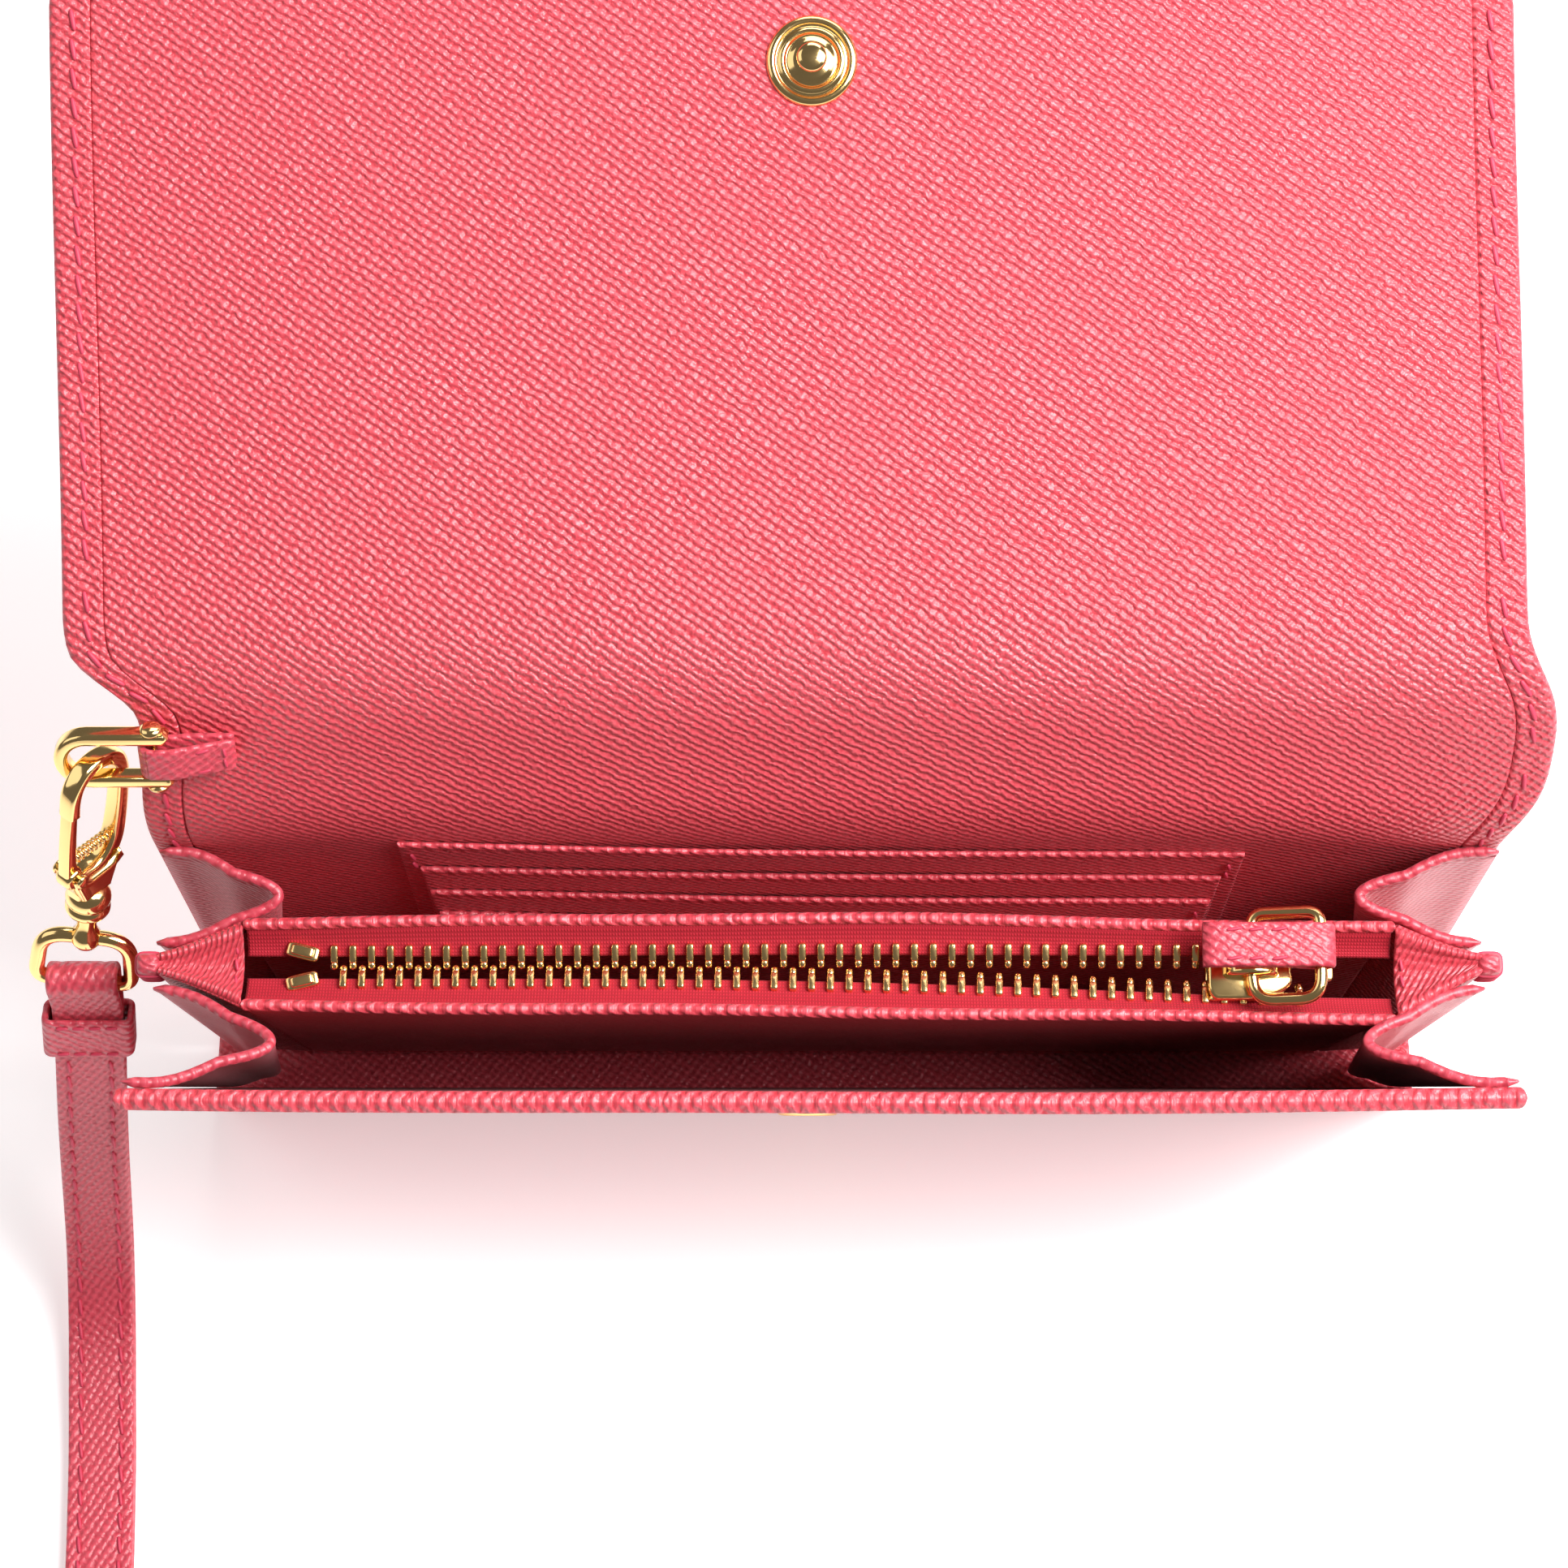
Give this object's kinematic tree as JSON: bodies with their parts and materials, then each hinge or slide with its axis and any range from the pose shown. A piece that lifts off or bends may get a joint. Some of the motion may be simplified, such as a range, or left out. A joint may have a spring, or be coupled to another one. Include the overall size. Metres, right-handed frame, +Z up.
{
  "type": "wristlet wallet",
  "caption": "Flap wallet standing open, with accordion gussets, a zipped middle pocket, card slots, a snap and a clip-on wrist strap.",
  "frame": {"origin": "on the underside of the base, midway through its depth and under the middle of the flap", "axes": "+Z up, -Y towards the front and the opening, +X to the right across the width"},
  "size_m": [0.178, 0.2211, 0.1407],
  "materials": {
    "outer_leather": "cross-grained, satin",
    "lining_leather": "cross-grained, satin",
    "gusset_leather": "satin",
    "strap_leather": "cross-grained, satin",
    "stiffening_board": "matt board",
    "zip_tape": "woven tape",
    "gold_zip": "polished gold plate",
    "gold_hardware": "polished gold plate"
  },
  "bodies": {
    "body": {"base_panel": "outer_leather", "rear_outer": "outer_leather", "rear_board": "stiffening_board", "rear_lining": "lining_leather", "card_slot_back": "outer_leather", "card_slot_upper": "outer_leather", "card_slot_middle": "outer_leather", "card_slot_lower": "outer_leather"},
    "spine": {"spine_outer": "outer_leather", "spine_lining": "lining_leather", "rear_fold_strip": "outer_leather", "ring_tab": "outer_leather"},
    "flap": {"flap_outer": "outer_leather", "flap_board": "stiffening_board", "flap_lining": "lining_leather", "flap_fold_strip": "outer_leather", "snap_stud": "gold_hardware", "snap_stud_rivet": "gold_hardware"},
    "pocket": {"pocket_rear_wall": "outer_leather", "pocket_front_wall": "outer_leather", "pocket_seam": "outer_leather", "pocket_fold_strip": "gusset_leather", "pocket_end_left": "outer_leather", "pocket_end_right": "outer_leather", "bar_tack_left": "gusset_leather", "bar_tack_right": "gusset_leather", "zip_tape_rear": "zip_tape", "zip_tape_front": "zip_tape", "zip_teeth_rear": "gold_zip", "zip_teeth_front": "gold_zip", "zip_top_stops": "gold_zip", "zip_bottom_stop": "gold_zip", "gusset_rear_left": "gusset_leather", "gusset_rear_right": "gusset_leather"},
    "front": {"front_outer": "outer_leather", "front_board": "stiffening_board", "front_lining": "lining_leather", "front_edge_roll": "outer_leather", "front_fold_strip": "outer_leather", "snap_socket": "gold_hardware", "snap_socket_rivet": "gold_hardware", "gusset_front_left": "gusset_leather", "gusset_front_right": "gusset_leather"},
    "slider": {"slider_body": "gold_zip"},
    "puller_loop": {"puller_loop": "gold_zip"},
    "pull_tab": {"pull_tab": "outer_leather"},
    "d_ring": {"d_ring": "gold_hardware", "d_ring_pin": "gold_hardware"},
    "clasp": {"clasp_body": "gold_hardware", "gate_rivet": "gold_hardware", "gate_spring": "gold_hardware"},
    "clasp_gate": {"clasp_gate": "gold_hardware"},
    "strap_ring": {"swivel_post": "gold_hardware", "strap_ring": "gold_hardware"},
    "strap": {"strap_upper": "strap_leather", "strap_lower": "strap_leather", "strap_keeper": "strap_leather"}
  },
  "joints": [
    {"name": "rear_fold", "type": "hinge", "parent": "body", "child": "spine", "pos_m": [0, -0.00334, 0.08348], "axis": [1, 0, 0], "range_deg": [0, 112], "deforming": ["rear_fold_strip"]},
    {"name": "flap_fold", "type": "hinge", "parent": "spine", "child": "flap", "pos_m": [0, 0.00527, 0.10481], "axis": [1, 0, 0], "range_deg": [0, 142.8], "deforming": ["flap_fold_strip"]},
    {"name": "pocket_fold", "type": "hinge", "parent": "body", "child": "pocket", "pos_m": [0, 0, 0.0026], "axis": [1, 0, 0], "range_deg": [-4.1, 0], "deforming": ["pocket_fold_strip", "gusset_rear_left", "gusset_rear_right"]},
    {"name": "front_fold", "type": "hinge", "parent": "pocket", "child": "front", "pos_m": [0, -0.0069, 0.0018], "axis": [1, 0, 0], "range_deg": [-5, 0], "deforming": ["front_fold_strip", "gusset_front_left", "gusset_front_right"]},
    {"name": "slider_travel", "type": "slide", "parent": "pocket", "child": "slider", "axis": [1, 0, 0], "range_m": [-0.101, 0]},
    {"name": "puller_swing", "type": "hinge", "parent": "slider", "child": "puller_loop", "pos_m": [0.052, -0.01768, 0.07569], "axis": [0, -0.972, -0.2351], "range_deg": [-3, 155]},
    {"name": "pull_tab_swing", "type": "hinge", "parent": "puller_loop", "child": "pull_tab", "pos_m": [0.05973, -0.01817, 0.0777], "axis": [0, -0.972, -0.2351], "range_deg": [-155, 3]},
    {"name": "d_ring_swing", "type": "hinge", "parent": "spine", "child": "d_ring", "pos_m": [-0.074, -0.00126, 0.09666], "axis": [0, -0.3746, -0.9272], "range_deg": [-20, 6]},
    {"name": "clasp_swing", "type": "hinge", "parent": "d_ring", "child": "clasp", "pos_m": [-0.0812, -0.00245, 0.09369], "axis": [1, 0, 0], "range_deg": [-82, 3]},
    {"name": "gate_swing", "type": "hinge", "parent": "clasp", "child": "clasp_gate", "pos_m": [-0.08518, -0.00973, 0.08291], "axis": [-0.8086, 0.5809, -0.0934], "range_deg": [0, 18], "stiffness_Nm_per_rad": 0.02, "springref_deg": -8.59, "deforming": ["gate_spring"]},
    {"name": "clasp_swivel", "type": "hinge", "parent": "clasp", "child": "strap_ring", "pos_m": [-0.0844, -0.00985, 0.07539], "axis": [-0.1599, -0.3698, -0.9153], "range_deg": [-5, 75]},
    {"name": "strap_swing", "type": "hinge", "parent": "strap_ring", "child": "strap", "pos_m": [-0.08656, -0.01484, 0.06303], "axis": [-0.9871, 0.0599, 0.1482], "range_deg": [-5, 60]}
  ],
  "couplings": [
    {"joint": "flap_fold", "follows": "rear_fold", "ratio": 1.2705},
    {"joint": "pocket_fold", "follows": "rear_fold", "ratio": -0.0357},
    {"joint": "front_fold", "follows": "rear_fold", "ratio": -0.0446},
    {"joint": "clasp_swing", "follows": "rear_fold", "ratio": -0.73},
    {"joint": "pull_tab_swing", "follows": "puller_swing", "ratio": -1}
  ]
}
